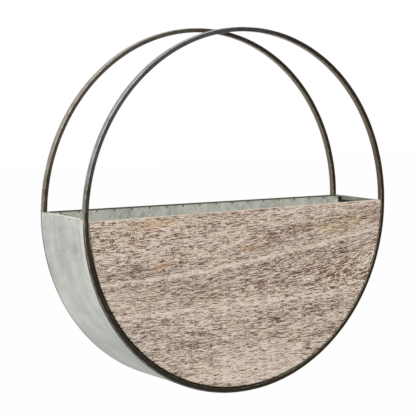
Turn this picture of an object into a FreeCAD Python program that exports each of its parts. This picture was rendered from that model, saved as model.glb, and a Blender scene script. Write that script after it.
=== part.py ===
import FreeCAD, Part
import math
import os

# Half-round wall planter: a sheet trough soldered between two full hoops of flat steel bar, with a weathered board
# set into the lower half of the front hoop.
#
# Frame, in millimetres: +Z up, +Y towards the wall, so the planter's front looks along -Y.
# The origin is where the planter hangs: the inside top of the rear hoop, in the plane of the wall.

# Hoops
hoop_outer_diameter = 400.0
planter_depth = 96.0  # from the wall to the front of the front hoop
bar_thickness = 4.8  # of the bar, along the hoop's radius
bar_width = 6.8  # of the bar, along the planter's depth
bar_edge_radius = 0.7

# Sheet of the trough
sheet = 0.6
joint_gap = 0.1  # solder film between sheet and bar, and between sheet and sheet
rim_rise = 2.5  # of the trough's rim above the hoops' centre
trough_turn = 0.35  # degrees: the trough sits in the hoops this much low on the right
front_reveal = 3.0  # bare strip of the front hoop's outside, ahead of the band
rear_reveal = 1.8  # bare strip of the rear hoop's outside, behind the band
flange_width = 4.2
flange_bend = 2.5  # outside radius of the bend into the flange

# Rolled rim of the trough
hem_gap = 0.3  # between the two leaves of a hem
hem_depth = 5.0
hem_to_front_bar = 1.3  # the band's hems stop this short of the front hoop
hem_to_rear_bar = 11.2  # and this short of the rear hoop
plate_hem_to_bar = 1.5  # the end plates' hems stop this short of the bars at their sides
hem_to_flange = 0.4  # the front plate's flange ends this far below the band's hems
mark_radius = 1.3  # of the round punch that closed the hems
mark_depth = 0.25
mark_drop = 2.6  # of the punch marks below the rim
back_mark_pitch = 22.5
side_mark_pitch = 35.0
side_marks = 2

# Board in the front hoop
board_gap = 0.4  # between the board's round edge and the hoop
board_recess = 0.4  # of the board's face behind the hoop's
board_rise = 1.0  # of the board's top edge above the hoops' centre
board_turn = -0.3  # degrees: the board sits in the hoop this much high on the right
board_bevel = 0.5

# Screws through the front plate into the board
screw_shank = 3.0
screw_bite = 4.4  # length of shank in the wood
screw_head = 7.0
screw_head_height = 1.8
screw_slot_width = 0.9
screw_slot_depth = 0.8
screw_hole_clearance = 0.3  # round the shank, in the sheet
screw_pilot_clearance = 0.05  # round the shank, in the wood
screw_edge_distance = 26.0  # from the board's round edge
screw_top_distance = 24.0  # from the board's top edge
arc_screws = 5
top_screws = 2
top_screw_spacing = 130.0

# Solder at the four corners where the rim meets the hoops
solder_bulge = 0.9  # out from the hoop's outside
solder_reach = 4.6  # in from the hoop's outside
solder_height = 3.4  # above the band's cut edge
solder_overrun = 1.0  # what the lump would run past the hem's end, cut off there

# Sizes worked out from the ones above
hoop_radius = hoop_outer_diameter / 2
hoop_inner_radius = hoop_radius - bar_thickness
centre_z = -hoop_inner_radius
front_y = -planter_depth
front_hoop_back_y = front_y + bar_width
rear_hoop_front_y = -bar_width
rim_z = centre_z + rim_rise
board_top_z = centre_z + board_rise
band_inner_radius = hoop_radius + joint_gap
band_outer_radius = band_inner_radius + sheet
flange_radius = band_inner_radius - joint_gap
fold_radius = sheet + hem_gap / 2  # outside radius of a hem's fold
front_rim_z = rim_z - hem_depth - hem_to_flange + fold_radius
back_plate_y = rear_hoop_front_y - joint_gap  # face that lies on the rear hoop
front_plate_y = front_hoop_back_y + joint_gap  # face that lies on the front hoop and the board
plate_hem_half_length = hoop_inner_radius - plate_hem_to_bar
band_hem_start_y = front_hoop_back_y + hem_to_front_bar
band_hem_end_y = rear_hoop_front_y - hem_to_rear_bar
board_radius = hoop_inner_radius - board_gap

UP = FreeCAD.Vector(0, 0, 1)
TO_WALL = FreeCAD.Vector(0, 1, 0)
TO_FRONT = FreeCAD.Vector(0, -1, 0)
ACROSS = FreeCAD.Vector(1, 0, 0)


def disc(radius, start_y, length, x=0.0, z=centre_z):
    """Round bar along Y from start_y; by itself on the hoops' axis."""
    return Part.makeCylinder(radius, length, FreeCAD.Vector(x, start_y, z), TO_WALL)


def round_edges(shape, y=None):
    """The closed circular edges of a shape, all of them or only those in the plane of y."""
    circles = [edge for edge in shape.Edges if isinstance(edge.Curve, Part.Circle) and edge.isClosed()]
    return [edge for edge in circles if y is None or abs(edge.CenterOfMass.y - y) < 1e-6]


def below(shape, z):
    """The part of a shape that lies below the height z."""
    box = shape.BoundBox
    margin = 1.0
    block = Part.makeBox(
        box.XLength + 2 * margin,
        box.YLength + 2 * margin,
        box.ZMax + margin - z,
        FreeCAD.Vector(box.XMin - margin, box.YMin - margin, z),
    )
    return shape.cut(block)


def outline_face(curves):
    """Flat face inside a closed run of lines and arcs."""
    return Part.Face(Part.Wire([curve.toShape() for curve in curves]))


def hoop(start_y):
    """Full circle of flat bar with eased edges, from start_y towards the wall."""
    ring = disc(hoop_radius, start_y, bar_width).cut(disc(hoop_inner_radius, start_y, bar_width))
    return ring.makeFillet(bar_edge_radius, round_edges(ring))


def hem(start, fold_way, run):
    """Rim fold, carried along run. start is at the rim's height in line with the sheet's outer face. The sheet
    rises the last rim_rise to it, turns over towards fold_way and comes down again to hem_depth below it."""

    def at(across, down):
        return start + fold_way * across - UP * down

    inner = sheet
    outer = sheet + hem_gap
    far = 2 * sheet + hem_gap
    corners = [at(0, rim_rise), at(0, fold_radius), at(far, fold_radius), at(far, hem_depth)]
    corners += [at(outer, hem_depth), at(outer, fold_radius), at(inner, fold_radius), at(inner, rim_rise)]
    curves = [Part.LineSegment(corners[0], corners[1])]
    curves += [Part.Arc(corners[1], at(fold_radius, 0), corners[2])]
    curves += [Part.LineSegment(corners[step], corners[step + 1]) for step in (2, 3, 4)]
    curves += [Part.Arc(corners[5], at(fold_radius, sheet), corners[6])]
    curves += [Part.LineSegment(corners[6], corners[7]), Part.LineSegment(corners[7], corners[0])]
    return outline_face(curves).extrude(run)


def turned(shape, angle):
    """The shape turned about the hoops' axis, by degrees that bring its right side down."""
    return shape.rotated(FreeCAD.Vector(0, 0, centre_z), TO_WALL, angle)


def punch_marks(middle, outward, run_way, pitch, count):
    """Round punches that each sink mark_depth into a face. middle is the middle of the row on that face,
    outward points out of it, and the row lies along run_way."""
    lift = outward * (mark_radius - mark_depth)
    places = [middle + run_way * (pitch * (number - (count - 1) / 2)) for number in range(count)]
    return [Part.makeSphere(mark_radius, place + lift) for place in places]


def end_plate(face_y, inward):
    """Sheet disc whose edge is bent into a narrow flange. Its flat face is at face_y, and the flange turns to
    the trough's inside, which is along inward (1 or -1)."""
    far_y = face_y + inward * flange_width
    outer = disc(flange_radius, min(face_y, far_y), flange_width)
    outer = outer.makeFillet(flange_bend, round_edges(outer, face_y))
    inner_y = face_y + inward * sheet
    inner = disc(flange_radius - sheet, min(inner_y, inner_y + inward * flange_width), flange_width)
    inner = inner.makeFillet(flange_bend - sheet, round_edges(inner, inner_y))
    return outer.cut(inner)


def hemmed_plate(face_y, inward, outer_y, top_z):
    """End plate cut off straight and hemmed towards the wall at top_z; outer_y is its face away from the wall."""
    plate = below(end_plate(face_y, inward), top_z - fold_radius)
    start = FreeCAD.Vector(-plate_hem_half_length, outer_y, top_z)
    return plate.fuse(hem(start, TO_WALL, ACROSS * (2 * plate_hem_half_length)))


def trough_back():
    """Half-round back of the trough, on the rear hoop's front face, its rim hemmed on the side of the wall."""
    inside_y = back_plate_y - sheet
    plate = hemmed_plate(back_plate_y, -1, inside_y, rim_z)
    marks_middle = FreeCAD.Vector(0, inside_y, rim_z - mark_drop)
    marks = int(2 * plate_hem_half_length // back_mark_pitch)
    plate = plate.cut(punch_marks(marks_middle, TO_FRONT, ACROSS, back_mark_pitch, marks))
    return turned(plate.removeSplitter(), trough_turn)


def trough_front():
    """Half-round front of the trough, behind the board, its rim hemmed inwards, with holes for the screws."""
    plate = turned(hemmed_plate(front_plate_y, 1, front_plate_y, front_rim_z).removeSplitter(), trough_turn)
    hole_radius = screw_shank / 2 + screw_hole_clearance
    holes = [disc(hole_radius, front_plate_y, sheet, x, z) for x, z in screw_places()]
    return plate.cut([turned(hole, board_turn) for hole in holes])


def trough_band():
    """Sheet bent round the outside of both hoops: a half circle with short straight sides up to hemmed rims."""
    start_y = front_y + front_reveal
    length = planter_depth - front_reveal - rear_reveal
    side_z = rim_z - fold_radius

    def at(x, z):
        return FreeCAD.Vector(x, start_y, z)

    outer = band_outer_radius
    inner = band_inner_radius
    curves = [
        Part.LineSegment(at(-outer, side_z), at(-outer, centre_z)),
        Part.Arc(at(-outer, centre_z), at(0, centre_z - outer), at(outer, centre_z)),
        Part.LineSegment(at(outer, centre_z), at(outer, side_z)),
        Part.LineSegment(at(outer, side_z), at(inner, side_z)),
        Part.LineSegment(at(inner, side_z), at(inner, centre_z)),
        Part.Arc(at(inner, centre_z), at(0, centre_z - inner), at(-inner, centre_z)),
        Part.LineSegment(at(-inner, centre_z), at(-inner, side_z)),
        Part.LineSegment(at(-inner, side_z), at(-outer, side_z)),
    ]
    band = outline_face(curves).extrude(TO_WALL * length)
    hem_run = TO_WALL * (band_hem_end_y - band_hem_start_y)
    for side in (-1, 1):
        outside = side * outer
        band = band.fuse(hem(FreeCAD.Vector(outside, band_hem_start_y, rim_z), ACROSS * -side, hem_run))
        marks_middle = FreeCAD.Vector(outside, -planter_depth / 2, rim_z - mark_drop)
        band = band.cut(punch_marks(marks_middle, ACROSS * side, TO_WALL, side_mark_pitch, side_marks))
    return turned(band.removeSplitter(), trough_turn)


def screw_places():
    """(x, z) of each screw: an even row along the board's round edge and a row along its top edge."""
    radius = board_radius - screw_edge_distance
    places = []
    for number in range(arc_screws):
        angle = math.pi * (number + 0.5) / arc_screws
        places.append((-radius * math.cos(angle), centre_z - radius * math.sin(angle)))
    for number in range(top_screws):
        x = top_screw_spacing * (number - (top_screws - 1) / 2)
        places.append((x, board_top_z - screw_top_distance))
    return places


def wood_board():
    """Half-round board inside the front hoop, with its front edges taken off and pilot holes in its back."""
    face_y = front_y + board_recess
    board = below(disc(board_radius, face_y, front_hoop_back_y - face_y), board_top_z)
    front_face = min(board.Faces, key=lambda face: face.CenterOfMass.y)
    board = board.makeChamfer(board_bevel, front_face.Edges)
    pilot_radius = screw_shank / 2 + screw_pilot_clearance
    pilot_y = front_hoop_back_y - screw_bite - screw_pilot_clearance
    pilots = [disc(pilot_radius, pilot_y, front_hoop_back_y - pilot_y, x, z) for x, z in screw_places()]
    return turned(board.cut(pilots), board_turn)


def board_screws():
    """Slotted round-head screws, from inside the trough through the front plate into the board."""
    head_y = front_plate_y + sheet
    tip_y = front_hoop_back_y - screw_bite
    screws = []
    for x, z in screw_places():
        head = disc(screw_head / 2, head_y, screw_head_height, x, z)
        head = head.makeFillet(screw_head_height / 2, round_edges(head, head_y + screw_head_height))
        slot_y = head_y + screw_head_height - screw_slot_depth
        slot_start = FreeCAD.Vector(x - screw_head / 2, slot_y, z - screw_slot_width / 2)
        slot = Part.makeBox(screw_head, screw_slot_depth, screw_slot_width, slot_start)
        shank = disc(screw_shank / 2, tip_y, head_y - tip_y, x, z)
        screws.append(head.cut(slot).fuse(shank).removeSplitter())
    return turned(Part.makeCompound(screws), board_turn)


def corner_solder(side, bar_start_y, hem_y):
    """Lump of solder at one rim corner, on the cut top edge of the band. It lies round the outside of a hoop, whose
    bar starts at bar_start_y, and runs along the band to the end of its hem at hem_y. side is 1 on the right."""
    bar_middle_y = bar_start_y + bar_width / 2
    inward = math.copysign(1, hem_y - bar_middle_y)
    bar_far_y = bar_middle_y - inward * bar_width / 2
    half_along = (abs(hem_y - bar_far_y) + solder_overrun) / 2
    half_across = (solder_bulge + solder_reach) / 2
    seat_z = rim_z - fold_radius
    stretch = FreeCAD.Matrix()
    stretch.scale(half_across, half_along, solder_height)
    lump = Part.makeSphere(1.0, FreeCAD.Vector(0, 0, 0), UP, 0, 90).transformGeometry(stretch)
    middle_x = side * (hoop_radius + solder_bulge - half_across)
    lump.translate(FreeCAD.Vector(middle_x, bar_far_y + inward * half_along, seat_z))
    lump = lump.cut(disc(hoop_radius, bar_start_y, bar_width))
    overrun_y = min(hem_y, hem_y + inward * half_along)
    overrun_start = FreeCAD.Vector(middle_x - half_across, overrun_y, seat_z)
    lump = lump.cut(Part.makeBox(2 * half_across, half_along, solder_height, overrun_start))
    return turned(lump, trough_turn)


def pieces():
    """Every piece of the planter by name."""
    return {
        "front_hoop": hoop(front_y),
        "rear_hoop": hoop(rear_hoop_front_y),
        "trough_band": trough_band(),
        "trough_back": trough_back(),
        "trough_front": trough_front(),
        "wood_board": wood_board(),
        "board_screws": board_screws(),
        "solder_front_left": corner_solder(-1, front_y, band_hem_start_y),
        "solder_front_right": corner_solder(1, front_y, band_hem_start_y),
        "solder_rear_left": corner_solder(-1, rear_hoop_front_y, band_hem_end_y),
        "solder_rear_right": corner_solder(1, rear_hoop_front_y, band_hem_end_y),
    }


os.makedirs("parts", exist_ok=True)
for name, shape in pieces().items():
    shape.exportStep("parts/" + name + ".step")
    box = shape.BoundBox
    print(
        f"{name}: {len(shape.Solids)} solid(s), valid {shape.isValid()}, {shape.Volume / 1000:.2f} cm3, "
        f"x {box.XMin:.1f} to {box.XMax:.1f}, y {box.YMin:.1f} to {box.YMax:.1f}, z {box.ZMin:.1f} to {box.ZMax:.1f}"
    )
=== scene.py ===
"""Looks of the half-round wall planter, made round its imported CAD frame.

It is laid out as an add-on: property groups hold the sizes, colours and studio, one operator makes each piece
or group of like pieces, and a panel lists them. Everything is in metres in the frame of the CAD part: +Z up,
+Y to the wall.
"""
import math

import bmesh
import bpy
import numpy as np
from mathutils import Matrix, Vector


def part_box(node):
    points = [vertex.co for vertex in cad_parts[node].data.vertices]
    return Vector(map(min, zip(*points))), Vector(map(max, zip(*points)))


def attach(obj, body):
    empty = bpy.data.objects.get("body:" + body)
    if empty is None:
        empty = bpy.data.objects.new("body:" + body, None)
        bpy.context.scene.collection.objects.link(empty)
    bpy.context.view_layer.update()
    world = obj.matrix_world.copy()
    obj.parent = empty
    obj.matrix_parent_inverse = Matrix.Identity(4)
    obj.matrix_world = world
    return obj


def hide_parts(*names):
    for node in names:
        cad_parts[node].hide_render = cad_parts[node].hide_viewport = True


bl_info = {
    "name": "Wall planter",
    "version": (1, 0, 0),
    "blender": (4, 5, 0),
    "location": "3D View > Sidebar > Planter",
    "description": "Half-round hoop planter with a galvanised trough and a weathered board",
    "category": "Add Mesh",
}

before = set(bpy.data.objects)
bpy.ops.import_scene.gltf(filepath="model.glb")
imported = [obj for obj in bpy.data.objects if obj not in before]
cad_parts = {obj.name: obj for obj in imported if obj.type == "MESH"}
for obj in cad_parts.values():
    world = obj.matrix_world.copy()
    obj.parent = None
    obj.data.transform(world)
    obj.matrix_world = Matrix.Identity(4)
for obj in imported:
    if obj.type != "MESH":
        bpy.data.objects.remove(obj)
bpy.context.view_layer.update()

MM = 0.001
HOOP_LOW, HOOP_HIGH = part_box("front_hoop")
REAR_LOW, REAR_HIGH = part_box("rear_hoop")
BAND_LOW, BAND_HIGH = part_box("trough_band")
BOARD_LOW, BOARD_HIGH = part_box("wood_board")

# Soft patches on the board, as (x, grain height, half width, half height, strength).
TONE_PATCHES = (
    (0.0, -0.079, 0.230, 0.019, -0.13),
    (0.135, -0.078, 0.065, 0.020, -0.18),
    (-0.130, -0.080, 0.060, 0.016, -0.08),
    (-0.150, -0.045, 0.050, 0.022, -0.10),
    (0.062, -0.034, 0.075, 0.013, -0.18),
    (-0.070, -0.139, 0.022, 0.007, -0.24),
    (0.0, -0.175, 0.130, 0.045, 0.20),
)
ASH_PATCHES = (
    (-0.110, -0.125, 0.075, 0.045, 0.50),
    (-0.150, -0.050, 0.045, 0.035, 0.40),
    (-0.020, -0.150, 0.060, 0.020, 0.25),
    (-0.088, -0.0500, 0.024, 0.0055, 0.85),
)
AMBER_PATCHES = (
    (-0.118, -0.0015, 0.038, 0.009, 0.55),
    (-0.108, -0.0420, 0.018, 0.0045, 0.90),
    (0.010, -0.0422, 0.018, 0.0055, 0.75),
    (-0.145, -0.0205, 0.010, 0.0035, 0.40),
)
STRAW_PATCHES = (
    (0.133, -0.036, 0.048, 0.015, 0.60),
    (0.150, -0.088, 0.040, 0.012, 0.20),
)
# Pale streaks along the board, as (grain height, half height, strength, shift of their noise).
STREAKS = (
    (-0.0564, 0.0044, 0.60, 23.0),
    (-0.1020, 0.0032, 0.36, 31.0),
)


def paint(red, green, blue):
    """The linear colour of an sRGB one given from 0 to 255."""
    parts = np.array([red, green, blue]) / 255
    linear = np.where(parts <= 0.04045, parts / 12.92, ((parts + 0.055) / 1.055) ** 2.4)
    return tuple(float(part) for part in linear)


# Properties --------------------------------------------------------------------------------------------


def length(name, default, description):
    """Property for a length in metres."""
    return bpy.props.FloatProperty(
        name=name, default=default, description=description, unit="LENGTH", precision=5
    )


def angle(name, default, description):
    """Property for an angle, with its default in degrees."""
    return bpy.props.FloatProperty(
        name=name, default=math.radians(default), description=description, unit="ROTATION"
    )


def light_level(name, default, description):
    """Property for the strength of the world's light, where 1 shows as white."""
    return bpy.props.FloatProperty(name=name, default=default, min=0.0, max=4.0, description=description)


def lamp_power(name, default, description):
    """Property for a lamp's power in watts."""
    return bpy.props.FloatProperty(name=name, default=default, unit="POWER", description=description)


def colour(name, default, description):
    """Property for a colour, with its default in sRGB from 0 to 255."""
    return bpy.props.FloatVectorProperty(
        name=name, default=paint(*default), size=3, subtype="COLOR", min=0.0, max=1.0, description=description
    )


class PlanterSizes(bpy.types.PropertyGroup):
    """Sizes of the planter's pieces, which start as those of the CAD frame."""

    hoop_radius: length("Hoop radius", (HOOP_HIGH.x - HOOP_LOW.x) / 2, "Outside radius of both hoops")
    centre_z: length("Hoop centre", (HOOP_HIGH.z + HOOP_LOW.z) / 2, "Height of the hoops' centre")
    bar_thickness: length("Bar thickness", 4.8 * MM, "Thickness of the bar along the hoop's radius")
    bar_width: length("Bar width", HOOP_HIGH.y - HOOP_LOW.y, "Width of the bar along the planter's depth")
    bar_edge: length("Bar edge", 0.7 * MM, "Radius of the bar's eased edges")
    bar_waver: length("Bar waver", 0.06 * MM, "How far the bar's faces stray from true")
    sheet: length("Sheet", 0.6 * MM, "Thickness of the trough's sheet")
    band_fit: length("Band fit", 0.1 * MM, "Solder between the hoops and the band")
    rim_rise: length("Rim rise", 2.5 * MM, "Height of the trough's rim above the hoops' centre")
    hem_depth: length("Hem depth", 5.0 * MM, "Depth of the rim's folded leaf")
    hem_gap: length("Hem gap", 0.3 * MM, "Gap between the leaves of the hem")
    hem_start_y: length("Hem start", HOOP_LOW.y + 8.1 * MM, "Front end of the band's hems")
    hem_end_y: length("Hem end", -18.0 * MM, "Rear end of the band's hems")
    mark_pitch: length("Mark pitch", 35.0 * MM, "Distance between the two punch marks of a hem")
    plate_mark_pitch: length("Plate mark pitch", 22.5 * MM, "Distance between the back plate's punch marks")
    mark_radius: length("Mark radius", 1.3 * MM, "Radius of a punch mark")
    mark_depth: length("Mark depth", 0.3 * MM, "Depth of a punch mark")
    mark_drop: length("Mark drop", 2.6 * MM, "Height of the rim above the punch marks")
    sheet_waver: length("Sheet waver", 0.45 * MM, "How far the sheet dips between the hoops")
    trough_turn: angle("Trough turn", 0.35, "Turn of the trough in the hoops, right side down")
    board_radius: length("Board radius", (BOARD_HIGH.x - BOARD_LOW.x) / 2, "Radius of the board's round edge")
    board_rise: length("Board rise", 1.0 * MM, "Height of the board's top edge above the hoops' centre")
    board_bevel: length("Board bevel", 0.5 * MM, "Radius of the board's front edges")
    board_turn: angle("Board turn", -0.3, "Turn of the board in the hoop, right side down")
    relief: length("Board relief", 0.75 * MM, "Depth of the deepest grooves in the board's face")
    solder_bulge: length("Solder bulge", 0.25 * MM, "How far the solder stands out from the hoop")
    solder_height: length("Solder height", 7.0 * MM, "Height of the solder on the hoop's outside")


class PlanterColours(bpy.types.PropertyGroup):
    """Colours of the planter's materials."""

    # The next two colours are a painted highlight on the upper left of the front and rear hoops; the brown
    # after them is the steel's own colour away from it.
    steel: colour("Steel", (182, 184, 187), "Clean steel, on the upper left of the front hoop")
    steel_rear: colour("Steel, rear", (184, 174, 160), "The same on the rear hoop")
    steel_brown: colour("Steel, brown", (118, 105, 84), "Greasy steel on the rest of the hoops")
    steel_dark: colour("Steel, dark", (100, 93, 80), "Darker patches of the hoops")
    steel_worn: colour("Steel, worn", (214, 213, 208), "Rubbed edges of the hoops")
    rust: colour("Rust", (92, 60, 40), "Specks of rust on the hoops")
    zinc: colour("Zinc", (205, 206, 200), "Galvanised sheet")
    zinc_inside: colour("Zinc, inside", (232, 230, 214), "Sheet inside the trough, a little yellowed")
    # The next colour also serves as painted shade on the band's underside.
    zinc_dark: colour("Zinc, dark", (158, 162, 155), "Darker clouds on the sheet")
    zinc_bloom: colour("Zinc, bloom", (220, 222, 214), "Pale bloom on the sheet")
    # The next colour paints pale flecks on the plates and a painted highlight along the left rim's fold.
    zinc_flecks_and_highlight: colour("Zinc, edge", (240, 240, 230), "Bright fold of the left rim and flecks on the plates")
    # The next colour is grime in specks and darker punch marks and edges, and also serves as painted shade
    # inside the trough's right wall, along the right rim and along the plates' rolled tops.
    grime: colour("Grime", (66, 66, 48), "Grime in corners and folds of the sheet")
    crease: colour("Crease", (22, 18, 12), "Shadowed crease in the trough's rear right corner")
    wood_groove: colour("Wood, groove", (102, 75, 61), "Bottom of the grooves in the board")
    wood_dark: colour("Wood, dark", (143, 122, 105), "Dark grain of the board")
    wood_mid: colour("Wood, middle", (184, 164, 147), "Most of the board")
    wood_light: colour("Wood, light", (208, 191, 174), "Light grain of the board")
    wood_pale: colour("Wood, pale", (226, 211, 196), "Palest fibres and cut edges of the board")
    wood_amber: colour("Wood, amber", (190, 150, 100), "Amber flecks in the board")
    wood_straw: colour("Wood, straw", (188, 168, 122), "Yellowed patches at the board's right")
    wood_ash: colour("Wood, ash", (182, 169, 160), "Grey weathering on the board")
    # The next colour is a painted shadow where the board meets the hoop.
    wood_seam_shadow: colour("Wood, seam", (20, 12, 7), "Dirt where the board meets the hoop")
    solder: colour("Solder", (172, 172, 165), "Dull solder")
    solder_dark: colour("Solder, dark", (110, 110, 100), "Flux stains on the solder")
    screw: colour("Screw", (186, 186, 178), "Zinc plate of the screws")


class PlanterStudio(bpy.types.PropertyGroup):
    """Camera, lamps, floor and world."""

    target: bpy.props.FloatVectorProperty(
        name="Target",
        default=(-0.0487, -0.096, -0.1886),
        size=3,
        subtype="XYZ",
        description="Point the camera looks at",
    )
    distance: length("Distance", 1.588, "From the camera to its target")
    azimuth: angle("Azimuth", -34.06, "Angle of the camera round the planter, from straight in front")
    elevation: angle("Elevation", 5.88, "Angle of the camera above the horizon")
    lens: bpy.props.FloatProperty(
        name="Lens", default=128.1, unit="CAMERA", description="Focal length of the camera"
    )
    floor_drop: length("Floor drop", 1.35, "Height of the planter's origin above the floor")
    floor: colour("Floor", (249, 249, 249), "Floor and backdrop")
    key: lamp_power("Key", 74.0, "Large soft lamp at upper left")
    fill: lamp_power("Fill", 10.0, "Weak lamp from above")
    sky: light_level("Sky", 0.75, "Light of the world from above and behind the planter")
    room: light_level("Room", 0.30, "Light of the world from in front of the planter")
    mirrored_sky: light_level("Mirrored sky", 1.0, "Brightness of the same sky in polished surfaces")
    mirrored_room: light_level("Mirrored room", 0.05, "Brightness of the same room in polished surfaces")


def sizes():
    """The scene's sizes of the planter."""
    return bpy.context.scene.planter_sizes


def colours():
    """The scene's colours of the planter."""
    return bpy.context.scene.planter_colours


def opaque(tint):
    """A colour with its alpha of 1."""
    return (*tint, 1.0)


# Shapes ------------------------------------------------------------------------------------------------


def ease(share_of_way):
    """3t^2 - 2t^3 of t held between 0 and 1."""
    t = np.clip(share_of_way, 0.0, 1.0)
    return t * t * (3 - 2 * t)


def noise(u, v, seed, period=None):
    """Smooth noise between -1 and 1: seeded random values at whole numbers (u, v), eased in between. With a
    period, it repeats along u after that many whole numbers."""
    table_size = 512
    table = np.random.default_rng(seed).uniform(-1, 1, (table_size, table_size))
    whole_u, whole_v = np.floor(u).astype(int), np.floor(v).astype(int)
    part_u, part_v = ease(u - whole_u), ease(v - whole_v)

    def at(step_u, step_v):
        return table[(whole_u + step_u) % (period or table_size), (whole_v + step_v) % table_size]

    near = at(0, 0) * (1 - part_u) + at(1, 0) * part_u
    far = at(0, 1) * (1 - part_u) + at(1, 1) * part_u
    return near * (1 - part_v) + far * part_v


def grid_of(*columns):
    """Numbers or grids of them side by side, as the last axis of one grid."""
    return np.stack(np.broadcast_arrays(*columns), -1)


def run_length(line):
    """Distance along a line of points up to each of them."""
    return np.concatenate([[0], np.cumsum(np.hypot(*np.diff(line, axis=0).T))])


def turned(points, turn):
    """Points turned about the hoops' axis by a: x' = x cos a + z sin a and z' = z cos a - x sin a."""
    centre_z = sizes().centre_z
    x, y, z = points[..., 0], points[..., 1], points[..., 2] - centre_z
    cos, sin = math.cos(turn), math.sin(turn)
    return grid_of(x * cos + z * sin, y, centre_z + z * cos - x * sin)


def patch(points, closed_u=False, closed_v=False, uv=None, **values):
    """One grid of points (u, v, xyz), open or closed along u and v. uv is a grid of texture places in
    metres, one row or column longer where the patch is closed. values are grids of numbers for the
    points."""
    return {"points": points, "closed": (closed_u, closed_v), "uv": uv, "values": values}


def patch_faces(part, first):
    """Quads of a patch whose points are numbered from first, and the texture place of each of their
    corners. The quad (u, v) joins the points (u, v), (u+1, v), (u+1, v+1) and (u, v+1)."""
    rows, columns = part["points"].shape[:2]
    number = first + np.arange(rows * columns).reshape(rows, columns)
    if part["closed"][0]:
        number = np.vstack([number, number[:1]])
    if part["closed"][1]:
        number = np.hstack([number, number[:, :1]])
    uv = np.zeros((*number.shape, 2)) if part["uv"] is None else part["uv"]

    def corners(grid):
        return np.stack([grid[:-1, :-1], grid[1:, :-1], grid[1:, 1:], grid[:-1, 1:]], 2)

    return corners(number).reshape(-1, 4), corners(uv).reshape(-1, 4, 2)


def make_piece(name, parts, material, node, sharp=38.0):
    """Mesh object of one or more patches, which rides on the planter and stands for its CAD node. Edges
    sharper than the angle sharp stay hard."""
    points = np.concatenate([part["points"].reshape(-1, 3) for part in parts])
    first, quads, uvs = 0, [], []
    for part in parts:
        part_quads, part_uvs = patch_faces(part, first)
        quads.append(part_quads)
        uvs.append(part_uvs)
        first += part["points"].shape[0] * part["points"].shape[1]
    mesh = bpy.data.meshes.new(name)
    mesh.from_pydata(points, [], np.concatenate(quads))
    layer = mesh.uv_layers.new(name="along")
    layer.data.foreach_set("uv", np.concatenate(uvs).reshape(-1).astype(np.float32))
    for key in parts[0]["values"]:
        numbers = np.concatenate([np.ravel(part["values"][key]) for part in parts])
        mesh.attributes.new(key, "FLOAT", "POINT").data.foreach_set("value", numbers.astype(np.float32))
    work = bmesh.new()
    work.from_mesh(mesh)
    bmesh.ops.remove_doubles(work, verts=work.verts, dist=1e-7)
    bmesh.ops.dissolve_degenerate(work, edges=work.edges, dist=1e-8)
    bmesh.ops.recalc_face_normals(work, faces=work.faces)
    work.to_mesh(mesh)
    work.free()
    mesh.shade_smooth()
    mesh.set_sharp_from_angle(angle=math.radians(sharp))
    mesh.materials.append(material)
    piece = bpy.data.objects.new(name, mesh)
    bpy.context.scene.collection.objects.link(piece)
    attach(piece, "root")
    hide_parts(node)


def bar_profile(thickness, width, edge):
    """Outline of the flat bar, as (out, along, closeness to an edge): quarter circles of the edge radius at
    the corners, with a point just beside each of their ends, joined by straight faces with a point in their
    middle. out runs from -thickness to 0, along from 0 to width."""
    quarter = np.linspace(0, math.pi / 2, 5)
    beside, closeness_beside = 0.4 * MM, 0.25
    centres = np.array(
        [(-edge, width - edge), (edge - thickness, width - edge), (edge - thickness, edge), (-edge, edge)]
    )
    profile = []
    for number, (out, along) in enumerate(centres):
        way = quarter + number * math.pi / 2
        arc = grid_of(out + edge * np.cos(way), along + edge * np.sin(way), 1.0)
        ahead = beside * grid_of(-np.sin(way), np.cos(way))
        before = [*(arc[0, :2] - ahead[0]), closeness_beside]
        after = [*(arc[-1, :2] + ahead[-1]), closeness_beside]
        following_start = centres[(number + 1) % 4] + edge * np.array([math.cos(way[-1]), math.sin(way[-1])])
        middle = [*(arc[-1, :2] + following_start) / 2, 0.0]
        profile += [before, *arc, after, middle]
    return np.array(profile)


def hoop_patch(start_y, seed):
    """Bar profile carried round the hoop's circle: x = r cos t, z = centre + r sin t with r = radius + out,
    and y = start + along. Noise of two sizes round the circle sinks the bar's outer half a little."""
    size = sizes()
    stations, lumps, small_lumps = 540, 90, 270
    profile = bar_profile(size.bar_thickness, size.bar_width, size.bar_edge)
    out, along, edge = (profile[None, :, column] for column in range(3))
    t = np.linspace(0, 2 * math.pi, stations, endpoint=False)[:, None]
    turns = t / (2 * math.pi)
    sides = np.arange(len(profile))[None, :] / len(profile) * 4
    waver = noise(turns * lumps, sides, seed, lumps)
    waver = waver + 0.6 * noise(turns * small_lumps, sides * 2, seed + 1, small_lumps)
    r = size.hoop_radius + out - size.bar_waver * (0.8 + waver) * (out > -size.bar_thickness / 2)
    points = grid_of(r * np.cos(t), start_y + along, size.centre_z + r * np.sin(t))
    run = np.append(run_length(profile[:, :2]), 2 * (size.bar_thickness + size.bar_width))
    along_bar = np.linspace(0, 2 * math.pi, stations + 1) * size.hoop_radius
    return patch(points, True, True, grid_of(along_bar[:, None], run), edge=edge + 0 * t)


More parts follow.
